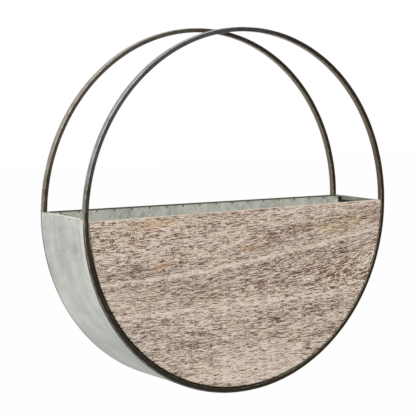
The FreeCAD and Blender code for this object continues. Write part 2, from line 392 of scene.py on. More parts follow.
def band_path(size):
    """Middle line of the band's sheet and its outward way, as (x, z, way x, way z, is on a hem) from the
    left leaf's end to the right one's. It goes up the leaf, over the fold's half circle, down the straight
    side and round the half circle of the hoops, in fine steps near the rim, and the right half mirrors the
    left."""
    radius = size.hoop_radius + size.band_fit + size.sheet / 2
    fold = (size.sheet + size.hem_gap) / 2
    seat = size.rim_rise - fold - size.sheet / 2
    leaf_z = np.linspace(size.rim_rise - size.hem_depth, seat, 6)
    leaf = grid_of(2 * fold - radius, leaf_z, 1.0, 0.0, 1.0)
    t = np.linspace(0, math.pi, 10)[1:]
    cos, sin = np.cos(t), np.sin(t)
    over = grid_of(fold - radius + fold * cos, seat + fold * sin, cos, sin, 1.0)
    side = grid_of(-radius, np.linspace(seat - 0.02 * MM, 0.0, 9), -1.0, 0.0, 0.0)
    near_marks = np.arange(0.25, 7.0, 0.25) * MM
    t = np.concatenate([near_marks, np.linspace(7.0 * MM, radius * math.pi / 2, 108)]) / radius
    cos, sin = np.cos(t), np.sin(t)
    under = grid_of(-radius * cos, -radius * sin, -cos, -sin, 0.0)
    left = np.vstack([leaf, over, side, under])
    right = left[-2::-1] * [-1, 1, -1, 1, 1]
    return np.vstack([left, right])


def there_and_back(outside, inside):
    """One loop across the band's depth: the outside face's grid, then the inside face's in reverse."""
    return np.concatenate([outside, inside[:, ::-1]], 1)


def capped(grid):
    """A grid with its first and last rows repeated, for the ends of the band."""
    return np.concatenate([grid[:1], grid, grid[-1:]])


def band_shades(path, run, y, dip):
    """Numbers from 0 to 1 for the band's material: one darkens the punch marks and paints shade, mottled
    inside the right wall and along the right rim; one paints a highlight along the fold of the left rim; and
    one paints a shadow in the rear right corner inside."""
    size = sizes()
    path_x, path_z, way_x, _, on_hem = (path[:, [column]] for column in range(5))
    below_rim = size.rim_rise - path_z
    on_right = path_x > size.hoop_radius / 2
    shade_and_dark_marks = np.clip(dip / size.mark_depth, 0, 1) * (np.abs(below_rim - size.mark_drop) < 3 * MM)
    mottle = 0.62 + 0.25 * noise(run / (12 * MM), y / (20 * MM), 17)[:, ::-1]
    # Painted shade inside the right wall, mottled.
    right_wall_shade = ease((path_x - 100 * MM) / (60 * MM)) * ease((55 * MM + path_z) / (50 * MM))
    shade_and_dark_marks_inside = np.maximum(shade_and_dark_marks, right_wall_shade * mottle)
    on_leaf = (on_hem > 0.5) & (np.abs(way_x) > 0.9) & (way_x * path_x < 0)
    shade_and_dark_marks = there_and_back(np.where(on_leaf, shade_and_dark_marks_inside, shade_and_dark_marks), shade_and_dark_marks_inside)
    # Along the rim: a painted highlight on the left fold and painted shade on the right.
    rim = ease(1 - np.abs(below_rim - 0.1 * MM) / (1.1 * MM)) + np.zeros_like(shade_and_dark_marks)
    # Painted shadow in the rear right corner, inside.
    at_rear = ease((y + 58 * MM) / (40 * MM)) * ease((path_x - 100 * MM) / (10 * MM))
    crease = at_rear * ease((below_rim - 1.2 * MM) / MM) * ease((14 * MM - below_rim) / (8 * MM))
    return {
        "shade_and_dark_marks": capped(np.maximum(shade_and_dark_marks, rim * on_right)),
        "fold": capped(rim * ~on_right),
        "crease": capped(there_and_back(np.zeros_like(crease), crease)),
    }


def band_patch():
    """Sheet section carried along the band's path: outside = middle + way * (half the sheet - dip) and
    inside = middle - way * (half the sheet + dip), across the depth. The dip is that of Gaussian punch
    marks and of slow noise, which lets the sheet sink a little between the hoops. A row on the middle line
    closes each end."""
    size = sizes()
    path = band_path(size)
    run = run_length(path[:, :2])[:, None]
    path_x, path_z, way_x, way_z, on_hem = (path[:, [column]] for column in range(5))
    on_hem = on_hem > 0.5
    below_rim = size.rim_rise - path_z
    low, high = BAND_LOW.y, BAND_HIGH.y
    middle_y = (HOOP_LOW.y + REAR_HIGH.y) / 2
    marks_y = [middle_y - size.mark_pitch / 2, middle_y + size.mark_pitch / 2]
    near_marks = [mark + np.linspace(-2.2, 2.2, 15) * MM for mark in marks_y]
    across = np.unique(np.round(np.concatenate([np.linspace(low, high, 44), *near_marks]), 6))
    start = np.where(on_hem, size.hem_start_y, low)
    stop = np.where(on_hem, size.hem_end_y, high)
    y = start + (stop - start) * ((across - low) / (high - low))

    dip = np.zeros_like(y)
    for mark in marks_y:
        far = ((below_rim - size.mark_drop) ** 2 + (y - mark) ** 2) / size.mark_radius**2
        dip += size.mark_depth * np.exp(-2.2 * far) * ~on_hem
    free = ease((y - low - 9 * MM) / (22 * MM)) * ease((high - 10 * MM - y) / (22 * MM)) * ~on_hem
    free = free * ease(-(path_z + 4 * MM) / (30 * MM))
    wave = noise(run / (85 * MM), y / (70 * MM), 11) + 0.5 * noise(run / (30 * MM), y / (35 * MM), 12)
    dip += size.sheet_waver * free * (0.5 + 0.5 * wave)

    def face(out):
        push = out - dip
        return grid_of(path_x + way_x * push, y, size.centre_z + path_z + way_z * push)

    middle = there_and_back(face(0.0), face(0.0))
    faces = there_and_back(face(size.sheet / 2), face(-size.sheet / 2))
    points = turned(np.concatenate([middle[:1], faces, middle[-1:]]), size.trough_turn)
    uv = grid_of(capped(run), np.concatenate([across, across[::-1], across[:1]]))
    return patch(points, False, True, uv, **band_shades(path, run, y, dip))


def grain_height(x, z):
    """Height of a point above the hoops' centre, less the rise of the grain there: the grain climbs to the
    right by 0.0985 x + 0.215 x^2 about 50 mm down, by 0.55 of that at the top, and runs level from 105 mm
    down."""
    climb = 0.0985 * x + 0.215 * x**2
    share_of_it = ease((z + 105 * MM) / (50 * MM)) * (1 - 0.45 * ease((z + 45 * MM) / (45 * MM)))
    return z - climb * share_of_it


def board_relief(x, h):
    """Depth of the board's face from 0 to 1: a swell, grooves and fibres of noise stretched along the
    grain, each in its share, and splits where another noise is near 0. The grain sways a little."""

    def grain(lump_length, lump_height, seed):
        return noise(x / (lump_length * MM), h / (lump_height * MM), seed)

    h = h + 1.2 * MM * grain(34, 12, 21) + 0.4 * MM * grain(12, 5, 22)
    swell, groove, fibre = grain(45, 4.2, 23), grain(13, 1.45, 24), grain(6.5, 1.05, 25)
    split = ease(1 - np.abs(grain(18, 2.6, 26)) / 0.10)
    return np.clip(0.34 + 0.12 * swell + 0.30 * groove + 0.28 * fibre + 0.18 * split, 0, 1)


def half_disc(radius, rise, rows, columns):
    """Grid over the half disc under the height rise: z = rise - (radius + rise) (b + sin(b pi / 2)) / 2
    down the rows and x = a sqrt(radius^2 - z^2) across them, with a from -1 to 1 and b from 0 to 1."""
    b = np.linspace(0, 1, rows)[:, None]
    a = np.linspace(-1, 1, columns)[None, :]
    z = rise - (radius + rise) * (b + np.sin(b * math.pi / 2)) / 2
    x = a * np.sqrt(np.clip(radius**2 - z**2, 0, None))
    return x, z + 0 * x


def outline(*grids):
    """Border of each grid as one loop: along the top, down the right, back along the bottom, up the left."""
    return [np.concatenate([g[0, :-1], g[:-1, -1], g[-1, :0:-1], g[:0:-1, 0]]) for g in grids]


def board_patches():
    """The board's face, a half disc with relief, and rings round the same outline for its edge and back.
    The edge rings stand at radius - bevel (1 - out) and depth bevel * down for each pair of edge_steps,
    and the relief fades out on the way. The back rings shrink to a point."""
    size = sizes()
    rows, columns = 262, 310
    bevel, radius, rise = size.board_bevel, size.board_radius, size.board_rise
    face_y, back_y = BOARD_LOW.y, BOARD_HIGH.y

    def place(x, y, z):
        return turned(grid_of(x, y, size.centre_z + z), size.board_turn)

    x, z = half_disc(radius - bevel, rise - bevel, rows, columns)
    h = grain_height(x, z)
    depth = board_relief(x, h)
    face_points = place(x, face_y + size.relief * depth, z)
    face = patch(face_points, uv=grid_of(x, h), relief=depth, cut=np.zeros_like(x))

    border_depth = outline(depth)[0]
    edge_steps = ((0.0, 0.0), (0.35, 0.06), (0.65, 0.24), (0.88, 0.53), (1.0, 1.0), (1.0, 2.5), (1.0, 5.5))
    rings = []
    for out, down in edge_steps:
        inset = bevel * (1 - out)
        ring_x, ring_z = outline(*half_disc(radius - inset, rise - inset, rows, columns))
        relief_left = max(0.0, 1 - down / 2.5)
        ring_y = face_y + bevel * down + size.relief * border_depth * relief_left
        rings.append(grid_of(ring_x, ring_y, ring_z, relief_left, min(1.0, down)))
    full_x, full_z = outline(*half_disc(radius, rise, rows, columns))
    middle_z = -0.42 * radius
    for shrink in (1.0, 0.96, 0.6, 0.3, 0.0):
        rings.append(grid_of(shrink * full_x, back_y, middle_z + shrink * (full_z - middle_z), 0.0, 1.0))
    x, y, z, relief_left, cut = np.moveaxis(np.array(rings), -1, 0)
    uv = grid_of(x, grain_height(x, z) + y - face_y)
    uv = np.concatenate([uv, uv[:, :1]], 1)
    edge = patch(place(x, y, z), False, True, uv, relief=border_depth * relief_left, cut=cut)
    return face, edge


def solder_lump(centre, reach, seed):
    """Uneven ball: centre + reach * way * (1 + 0.16 cos p * noise of (t, p)), where the way at (t, p) is
    (cos p cos t, cos p sin t, sin p)."""
    t = np.linspace(0, 2 * math.pi, 48, endpoint=False)[:, None]
    p = np.linspace(-math.pi / 2, math.pi / 2, 25)[None, :]
    turns = t / (2 * math.pi)
    rough = noise(turns * 8, p * 3 + 9, seed, 8) + 0.5 * noise(turns * 16, p * 6 + 9, seed + 1, 16)
    swell = 1 + 0.16 * np.cos(p) * rough
    way = grid_of(np.cos(p) * np.cos(t), np.cos(p) * np.sin(t), np.sin(p))
    points = np.array(centre) + np.array(reach) * way * swell[..., None]
    return patch(turned(points, sizes().trough_turn), True)


def solder_patches(side, end, number):
    """Solder of one rim corner, side -1 or 1 and end front or rear: a thin smear over the hoop's outside,
    and a lump that joins the end of the hem to the bar."""
    size = sizes()
    if end == "front":
        low, high, hem_y, bar_y = HOOP_LOW.y, HOOP_HIGH.y, size.hem_start_y, HOOP_HIGH.y
    else:
        low, high, hem_y, bar_y = REAR_LOW.y, REAR_HIGH.y, size.hem_end_y, REAR_LOW.y
    seat_z = size.centre_z + size.rim_rise - 0.75 * MM
    smear_centre = (side * (size.hoop_radius + 0.05 * MM), (low + high) / 2, seat_z + 1.2 * MM)
    smear_reach = (size.solder_bulge * 0.6, 2.7 * MM, size.solder_height * 0.8)
    corner_centre = (side * (size.hoop_radius - 1.6 * MM), (hem_y + bar_y) / 2, seat_z - 0.1 * MM)
    corner_reach = (2.3 * MM, abs(hem_y - bar_y) / 2 + 0.7 * MM, 1.1 * MM)
    smear = solder_lump(smear_centre, smear_reach, 61 + number)
    return smear, solder_lump(corner_centre, corner_reach, 71 + number)


# Materials ---------------------------------------------------------------------------------------------


def socket(sockets, key):
    """The socket with that identifier or else that name."""
    for each in sockets:
        if each.identifier == key:
            return each
    return sockets[key]


class Web:
    """Adds nodes to a node tree. Their inputs are numbers, colours or the outputs of other nodes."""

    def __init__(self, tree):
        self.tree = tree
        tree.nodes.clear()

    def node(self, kind, inputs, **settings):
        """A new node with these inputs and settings."""
        made = self.tree.nodes.new(kind)
        made.location = (190 * (len(self.tree.nodes) % 12), -220 * (len(self.tree.nodes) // 12))
        for key, value in settings.items():
            setattr(made, key, value)
        for key, value in inputs.items():
            if isinstance(value, bpy.types.NodeSocket):
                self.tree.links.new(value, socket(made.inputs, key))
            else:
                socket(made.inputs, key).default_value = value
        return made

    def add(self, kind, inputs, output=None, **settings):
        """One output of a new node, its first where none is named."""
        outputs = self.node(kind, inputs, **settings).outputs
        return socket(outputs, output) if output else outputs[0]

    def place(self):
        """Object coordinates."""
        return self.add("ShaderNodeTexCoord", {}, "Object")

    def along(self):
        """The piece's own UV map, in metres."""
        return self.add("ShaderNodeUVMap", {}, uv_map="along")

    def value_of(self, name):
        """An attribute of the piece's points."""
        return self.add("ShaderNodeAttribute", {}, "Fac", attribute_name=name)

    def split(self, vector):
        """The x, y and z of a vector."""
        return tuple(self.node("ShaderNodeSeparateXYZ", {"Vector": vector}).outputs)

    def stretch(self, vector, scale, move=(0.0, 0.0, 0.0)):
        """A vector times a scale, plus a move."""
        return self.add("ShaderNodeMapping", {"Vector": vector, "Scale": scale, "Location": move})

    def dot(self, a, b):
        """The dot product of two vectors."""
        inputs = {"Vector": a, "Vector_001": b}
        return self.add("ShaderNodeVectorMath", inputs, "Value", operation="DOT_PRODUCT")

    def reach(self, vector):
        """The length of a vector."""
        return self.add("ShaderNodeVectorMath", {"Vector": vector}, "Value", operation="LENGTH")

    def noise(self, vector, scale, detail=3.0, rough=0.55, bend=0.0, dimensions="3D"):
        """Noise of so many lumps per unit, about 0.5 on average."""
        inputs = {"Vector": vector, "Scale": scale, "Detail": detail, "Roughness": rough, "Distortion": bend}
        return self.add("ShaderNodeTexNoise", inputs, "Fac", noise_dimensions=dimensions)

    def combine(self, operation, a, b, clamp=False):
        """One number out of two, held between 0 and 1 with clamp."""
        inputs = {"Value": a, "Value_001": b}
        return self.add("ShaderNodeMath", inputs, operation=operation, use_clamp=clamp)

    def plus(self, a, b, clamp=False):
        """a + b."""
        return self.combine("ADD", a, b, clamp)

    def minus(self, a, b):
        """a - b."""
        return self.combine("SUBTRACT", a, b)

    def times(self, a, b, clamp=False):
        """a * b."""
        return self.combine("MULTIPLY", a, b, clamp)

    def larger(self, a, b):
        """The larger of two numbers."""
        return self.combine("MAXIMUM", a, b)

    def size_of(self, value):
        """A number without its sign."""
        return self.add("ShaderNodeMath", {"Value": value}, operation="ABSOLUTE")

    def wrap(self, value, low, high):
        """A number brought between low and high by whole steps of their distance."""
        inputs = {"Value": value, "Value_001": high, "Value_002": low}
        return self.add("ShaderNodeMath", inputs, operation="WRAP")

    def remap(self, value, low, high, to_low=0.0, to_high=1.0):
        """Eased from to_low at low to to_high at high."""
        inputs = {"Value": value, "From Min": low, "From Max": high, "To Min": to_low, "To Max": to_high}
        return self.add("ShaderNodeMapRange", inputs, "Result", interpolation_type="SMOOTHSTEP")

    def mix(self, factor, a, b, way="MIX"):
        """From colour a to colour b."""
        inputs = {"Factor_Float": factor, "A_Color": a, "B_Color": b}
        return self.add("ShaderNodeMix", inputs, "Result_Color", data_type="RGBA", blend_type=way)

    def coats(self, base, *layers, way="MIX"):
        """The base with other colours laid over it in turn, each given with its factor."""
        for tint, factor in layers:
            base = self.mix(factor, base, opaque(tint), way)
        return base

    def choose(self, factor, a, b):
        """From number a to number b."""
        inputs = {"Factor_Float": factor, "A_Float": a, "B_Float": b}
        return self.add("ShaderNodeMix", inputs, "Result_Float", data_type="FLOAT")

    def ramp(self, factor, *stops):
        """Colour ramp through (position, colour) stops."""
        made = self.node("ShaderNodeValToRGB", {"Fac": factor})
        elements = made.color_ramp.elements
        while len(elements) < len(stops):
            elements.new(0.5)
        for element, (position, tint) in zip(elements, stops):
            element.position = position
            element.color = opaque(tint)
        return made.outputs["Color"]

    def bump(self, height, strength, distance, normal=None):
        """Normal bent by a height, over another normal where there is one."""
        inputs = {"Height": height, "Strength": strength, "Distance": distance}
        if normal is not None:
            inputs["Normal"] = normal
        return self.add("ShaderNodeBump", inputs)


def group_node(web, name, output, inputs, fill):
    """One output of a shader node group, placed in a material with these inputs. The group is built the
    first time, by a function of its own web and its input sockets."""
    if name not in bpy.data.node_groups:
        tree = bpy.data.node_groups.new(name, "ShaderNodeTree")
        for key in inputs:
            kind = "NodeSocketVector" if key == "Vector" else "NodeSocketFloat"
            tree.interface.new_socket(key, in_out="INPUT", socket_type=kind)
        tree.interface.new_socket(output, in_out="OUTPUT", socket_type="NodeSocketFloat")
        inside = Web(tree)
        given = tree.nodes.new("NodeGroupInput").outputs
        result = fill(inside, given)
        tree.links.new(result, tree.nodes.new("NodeGroupOutput").inputs[output])
    return web.add("ShaderNodeGroup", inputs, output, node_tree=bpy.data.node_groups[name])


def cloudy(web, place, size, contrast, level):
    """Mask of soft patches: two sizes of noise added, then spread about the middle by the contrast."""

    def fill(inside, given):
        wide = inside.noise(given["Vector"], given["Size"], 4.0, 0.6, 0.4)
        small = inside.noise(given["Vector"], inside.times(given["Size"], 4.3), 3.0, 0.6)
        both = inside.plus(inside.times(wide, 0.68), inside.times(small, 0.32))
        centred = inside.times(inside.minus(both, 0.5), given["Contrast"])
        return inside.plus(centred, given["Level"], clamp=True)

    inputs = {"Vector": place, "Size": size, "Contrast": contrast, "Level": level}
    return group_node(web, "cloudy patches", "Mask", inputs, fill)


def speckled(web, place, size, amount):
    """Mask of scattered specks: noise above a threshold, where a slower noise lets them be."""

    def fill(inside, given):
        dots = inside.noise(given["Vector"], given["Size"], 2.0, 0.7)
        slow = inside.noise(given["Vector"], inside.times(given["Size"], 0.07), 2.0, 0.5)
        level = inside.plus(dots, inside.times(inside.minus(slow, 0.5), 0.35))
        threshold = inside.minus(0.80, inside.times(given["Amount"], 0.35))
        return inside.times(inside.minus(level, threshold), 9.0, clamp=True)

    inputs = {"Vector": place, "Size": size, "Amount": amount}
    return group_node(web, "scattered specks", "Mask", inputs, fill)


def rubbed(web, place, edge, size, amount):
    """Mask of rubbed edges: the closeness to an edge, broken up by noise."""

    def fill(inside, given):
        rub = inside.noise(given["Vector"], given["Size"], 4.0, 0.65)
        return inside.remap(inside.times(given["Edge"], inside.plus(rub, given["Amount"])), 0.62, 1.0)

    inputs = {"Vector": place, "Edge": edge, "Size": size, "Amount": amount}
    return group_node(web, "rubbed edges", "Mask", inputs, fill)


def toothed(web, place, size):
    """Height of a fine surface texture: two sizes of noise."""

    def fill(inside, given):
        coarse = inside.noise(given["Vector"], given["Size"], 3.0, 0.55)
        fine = inside.noise(given["Vector"], inside.times(given["Size"], 3.7), 2.0, 0.5)
        return inside.plus(inside.times(coarse, 0.65), inside.times(fine, 0.35))

    return group_node(web, "fine tooth", "Height", {"Vector": place, "Size": size}, fill)


def new_material(name):
    """An empty material, its web and its object coordinates."""
    material = bpy.data.materials.new(name)
    material.use_nodes = True
    web = Web(material.node_tree)
    return material, web, web.place()


def finish_material(material, web, inputs):
    """Joins a Principled shader with these inputs to the material's output."""
    shader = web.add("ShaderNodeBsdfPrincipled", inputs, "BSDF")
    web.node("ShaderNodeOutputMaterial", {"Surface": shader})
    return material


def steel_material():
    """Oxidised bar: brown, with a painted highlight of neutral grey, a little less metallic, on the upper
    left of the hoops, and with clouds, streaks along the bar, rust specks, rubbed edges and pale chips."""
    tint, size = colours(), sizes()
    material, web, place = new_material("oxidised_bar")
    clouds = cloudy(web, place, 34.0, 3.2, 0.5)
    blotch = cloudy(web, place, 170.0, 4.0, 0.42)
    streaks = web.noise(web.stretch(web.along(), (45.0, 900.0, 1.0)), 1.0, 3.0, 0.6, 0.3, "2D")
    specks = speckled(web, place, 900.0, 0.40)
    chips = speckled(web, place, 560.0, 0.16)
    worn = rubbed(web, place, web.value_of("edge"), 160.0, 0.22)

    # Painted highlight: the steel is painted lighter grey towards the upper left of the hoops, where the
    # light falls on them.
    upper_left = (-0.6, 0.0, 0.8)
    side = web.minus(web.dot(place, upper_left), web.times(web.minus(clouds, 0.5), 50 * MM))
    hoop_middle = size.centre_z * upper_left[2]
    upper_left_highlight = web.remap(side, hoop_middle + 105 * MM, hoop_middle + 185 * MM)
    on_rear = web.remap(web.split(place)[1], -60 * MM, -30 * MM)
    highlight_tint = web.mix(on_rear, opaque(tint.steel), opaque(tint.steel_rear))
    base = web.coats(
        web.mix(upper_left_highlight, opaque(tint.steel_brown), highlight_tint),
        (tint.steel_dark, web.times(clouds, 0.45)),
        (tint.steel_dark, web.remap(streaks, 0.35, 0.75, 0.0, 0.40)),
        (tint.steel_dark, web.times(blotch, 0.30)),
        (tint.rust, web.times(specks, 0.6)),
        (tint.steel_worn, web.larger(web.times(worn, 0.75), chips)),
    )
    rough = web.plus(web.remap(blotch, 0.0, 1.0, 0.30, 0.44), web.times(streaks, 0.10))
    metal = web.minus(0.89, web.plus(web.times(upper_left_highlight, 0.01), web.times(specks, 0.10)))
    bumps = web.bump(toothed(web, place, 420.0), 0.35, 0.35 * MM)
    bumps = web.bump(streaks, 0.25, 0.2 * MM, bumps)
    return finish_material(
        material, web, {"Base Color": base, "Roughness": rough, "Metallic": metal, "Normal": bumps}
    )


def band_marks(web, place, base):
    """Marks of the band over its zinc: darker punch marks and rear edge, painted shade inside the right wall
    and along the right rim, a painted highlight along the left rim's fold, a painted shadow in the rear right
    corner, painted shade on the underside and a pale strip at the front hoop."""
    tint = colours()
    _, y, z = web.split(place)
    # Painted shade, darker towards the bottom of the band.
    underside_shade = web.remap(z, -290 * MM, -385 * MM, 0.0, 0.85)
    front_strip = web.remap(y, BAND_LOW.y + 8 * MM, BAND_LOW.y + 3 * MM, 0.0, 0.55)
    front_strip = web.times(front_strip, web.remap(z, -270 * MM, -225 * MM))
    rear_edge = web.remap(y, BAND_HIGH.y - 3.4 * MM, BAND_HIGH.y - 1.2 * MM, 0.0, 0.75)
    return web.coats(
        base,
        # Darker punch marks and painted shade inside the right wall and along the right rim.
        (tint.grime, web.times(web.value_of("shade_and_dark_marks"), 0.90)),
        # Painted highlight along the fold of the left rim.
        (tint.zinc_flecks_and_highlight, web.times(web.value_of("fold"), 0.9)),
        # Painted shadow in the rear right corner.
        (tint.crease, web.value_of("crease")),
        (tint.zinc_dark, underside_shade),
        (tint.zinc_inside, front_strip),
        (tint.grime, rear_edge),
    )


def plate_marks(web, place, base):
    """Marks of an end plate over its zinc: pale flecks, painted shade along its rolled top, and darker rings
    round its punch marks, by the distance below the rim and from the nearest mark, which stand mark pitch
    apart along the rim."""
    tint, size = colours(), sizes()
    x, _, z = web.split(place)
    rim_z = size.centre_z + size.rim_rise
    below_rim = web.plus(web.minus(rim_z, z), web.times(x, -math.tan(size.trough_turn)))
    # Painted shade along the plate's rolled top.
    top = web.remap(below_rim, 0.9 * MM, 2.5 * MM, 0.95, 0.0)
    half_pitch = size.plate_mark_pitch / 2
    across = web.wrap(x, -half_pitch, half_pitch)
    down = web.minus(below_rim, size.mark_drop)
    far_squared = web.plus(web.times(across, across), web.times(down, down))
    marks = web.remap(far_squared, (0.7 * MM) ** 2, (1.6 * MM) ** 2, 0.8, 0.0)
    flecks = speckled(web, place, 300.0, 0.60)
    return web.coats(base, (tint.zinc_flecks_and_highlight, web.times(flecks, 0.75)), (tint.grime, web.larger(top, marks)))


def zinc_material(name, sheet_tint, run_scale, cloud_size, mottle, shine, own_marks):
    """Galvanised sheet: dark clouds and pale bloom by the mottle, faint run marks down the sheet and specks
    of grime, and over them the marks of its own piece."""
    tint = colours()
    material, web, place = new_material(name)
    clouds = cloudy(web, place, cloud_size, 4.0, 0.46)
    bloom = cloudy(web, place, cloud_size * 3.4, 5.0, 0.34)
    runs = web.noise(web.stretch(place, run_scale), 1.0, 4.0, 0.6, 0.2)
    specks = speckled(web, place, 520.0, 0.38)
    base = web.coats(
        opaque(sheet_tint),
        (tint.zinc_dark, web.times(clouds, mottle)),
        (tint.zinc_dark, web.remap(runs, 0.42, 0.66, 0.0, 0.34)),
        (tint.zinc_bloom, web.times(bloom, mottle)),
        (tint.grime, web.times(specks, 0.28)),
    )
    base = own_marks(web, place, base)
    rough = web.plus(web.remap(clouds, 0.0, 1.0, 0.44, 0.58), web.times(bloom, 0.10))
    metal = web.remap(bloom, 0.0, 1.0, shine, shine * 0.6)
    bumps = web.bump(toothed(web, place, 260.0), 0.22, 0.4 * MM)
    bumps = web.bump(clouds, 0.12, 1.5 * MM, bumps)
    return finish_material(
        material, web, {"Base Color": base, "Roughness": rough, "Metallic": metal, "Normal": bumps}
    )


class Grain:
    """Patterns that follow the board's grain, on its UV map: x along the grain and h across it, in metres."""

    def __init__(self, web):
        self.web = web
        self.vector = web.along()
        self.x, self.h, _ = web.split(self.vector)

    def layer(self, along, across, detail=1.0, rough=0.5, bend=0.0, shift=0.0):
        """Noise of so many lumps per metre along the grain and across it."""
        vector = self.web.stretch(self.vector, (along, across, 1.0), (shift, shift, 0.0))
        return self.web.noise(vector, 1.0, detail, rough, bend, "2D")

    def lines(self, along, across, width, gate_along, gate_across, shift):
        """Thin wavy lines where a stretched noise crosses its middle, let through here and there."""
        web = self.web
        near = web.size_of(web.minus(self.layer(along, across, 2.0, 0.5, 0.3, shift), 0.5))
        gate = web.remap(self.layer(gate_along, gate_across, 1.0, 0.5, 0.2, shift + 4.0), 0.42, 0.58)
        return web.times(web.remap(near, 0.0, width, 1.0, 0.0), gate)

    def streak(self, middle, half_width, strength, shift):
        """Pale line along the grain: strength times the ease of 1 - the distance from the height middle
        over half_width. Noise lets it wander and breaks it up."""
        web = self.web
        wander = web.times(web.minus(self.layer(12.0, 1.0, 2.0, 0.5, 0.0, shift), 0.5), 3.5 * MM)
        far = web.size_of(web.plus(web.minus(self.h, middle), wander))
        line = web.remap(far, 0.0, half_width, strength, 0.0)
        gaps = web.remap(self.layer(30.0, 260.0, 3.0, 0.6, 0.4, shift + 2.0), 0.25, 0.6, 0.35)
        return web.times(line, gaps)

    def spot(self, at_x, at_h, half_x, half_h, strength):
        """Soft patch: from its full strength in the middle to 0 at an ellipse with these half widths."""
        scale, move = (1 / half_x, 1 / half_h, 0.0), (-at_x / half_x, -at_h / half_h, 0.0)
        far = self.web.reach(self.web.stretch(self.vector, scale, move))
        return self.web.remap(far, 0.25, 1.0, strength, 0.0)

    def stains(self, other, patches, broken=None):
        """The larger of another mask and some soft patches, which a further mask may break up."""
        for each in patches:
            spot = self.spot(*each)
            other = self.web.larger(other, self.web.times(spot, broken) if broken else spot)
        return other


def wood_tone(web, grain, dashes, fibres):
    """Tone of the board about 0, dark below and light above: the sum of its grain patterns less their
    middle, each times its weight, with the relief's grooves, fine dark lines, pale streaks and soft
    patches."""
    pores = grain.layer(620.0, 1500.0, shift=5.0)
    clumps = grain.layer(55.0, 400.0, 2.0, 0.55, 0.3, 7.0)
    bands = grain.layer(3.2, 62.0, 4.0, 0.55, 0.2, 11.0)
    zones = grain.layer(7.0, 26.0, 3.0, 0.55, 0.3, 17.0)
    tone = 0.145
    for pattern, middle, weight in (
        (dashes, 0.5, 1.7),
        (fibres, 0.5, 2.4),
        (pores, 0.5, 2.2),
        (clumps, 0.5, 0.4),
        (bands, 0.5, 0.6),
        (zones, 0.5, 0.6),
        (web.value_of("relief"), 0.36, -0.70),
        (grain.lines(22.0, 430.0, 0.050, 50.0, 420.0, 61.0), 0.0, -0.68),
        (grain.lines(48.0, 660.0, 0.060, 100.0, 640.0, 73.0), 0.0, -0.50),
    ):
        tone = web.plus(tone, web.times(web.minus(pattern, middle), weight))
    for streak in STREAKS:
        tone = web.plus(tone, grain.streak(*streak))
    for soft_patch in TONE_PATCHES:
        tone = web.plus(tone, grain.spot(*soft_patch))
    return tone


def wood_seam_shadow(web, grain, place):
    """Mask of the painted shadow along the board's round edge, where the hoop meets it, which fades out to
    the right and towards the top.
    """
    size = sizes()
    from_centre = web.reach(web.stretch(place, (1.0, 0.0, 1.0), (0.0, 0.0, -size.centre_z)))
    seam = web.remap(from_centre, size.board_radius - 2.6 * MM, size.board_radius - 0.7 * MM)
    seam = web.times(seam, web.remap(grain.x, 20 * MM, 150 * MM, 1.0, 0.0))
    return web.times(seam, web.remap(grain.h, -30 * MM, 8 * MM, 1.0, 0.25))


def wood_material():
    """Weathered board: its tone runs through a ramp of wood colours, and over it lie ash-grey weathering,
    amber flecks, straw-yellow patches, pale cut edges, dark groove bottoms and a painted shadow along the
    seam with the hoop."""
    tint = colours()
    material, web, place = new_material("weathered_board")
    grain = Grain(web)
    dashes = grain.layer(62.0, 920.0, bend=0.15)
    fibres = grain.layer(165.0, 1350.0, bend=0.10, shift=3.0)
    level = web.plus(web.times(wood_tone(web, grain, dashes, fibres), 1.24), 0.52, clamp=True)
    base = web.ramp(
        level,
        (0.0, tint.wood_groove),
        (0.20, tint.wood_dark),
        (0.50, tint.wood_mid),
        (0.80, tint.wood_light),
        (1.0, tint.wood_pale),
    )
    weathered = web.remap(grain.layer(9.0, 60.0, 3.0, 0.6, 0.3, 41.0), 0.50, 0.72, 0.0, 0.22)
    ash = grain.stains(weathered, ASH_PATCHES)
    flecks = web.remap(grain.layer(60.0, 420.0, 3.0, 0.65, 0.6, 53.0), 0.60, 0.74)
    flecks = web.times(flecks, web.remap(grain.layer(5.0, 20.0, 2.0, shift=59.0), 0.42, 0.62, 0.0, 0.42))
    broken = web.remap(grain.layer(40.0, 300.0, 3.0, 0.65, 0.6, 67.0), 0.35, 0.65, 0.25)
    amber = grain.stains(flecks, AMBER_PATCHES, broken)
    straw_broken = web.remap(grain.layer(40.0, 300.0, 3.0, 0.65, 0.6, 79.0), 0.30, 0.60, 0.25)
    base = web.coats(base, (tint.wood_ash, ash), way="COLOR")
    base = web.coats(base, (tint.wood_amber, amber))
    for straw_patch in STRAW_PATCHES:
        straw = web.times(grain.spot(*straw_patch), straw_broken)
        base = web.coats(base, (tint.wood_straw, straw), way="COLOR")
    base = web.coats(
        base,
        (tint.wood_pale, web.times(web.value_of("cut"), 0.55)),
        (tint.wood_groove, web.remap(level, 0.14, 0.0, 0.0, 0.5)),
        # Painted shadow along the board's edge where the hoop meets it.
        (tint.wood_seam_shadow, wood_seam_shadow(web, grain, place)),
    )
    height = web.plus(web.times(dashes, 0.6), web.times(fibres, 0.4))
    inputs = {
        "Base Color": base,
        "Roughness": web.remap(level, 0.0, 1.0, 0.93, 0.74),
        "Specular IOR Level": 0.25,
        "Normal": web.bump(height, 0.55, 0.6 * MM),
    }
    return finish_material(material, web, inputs)


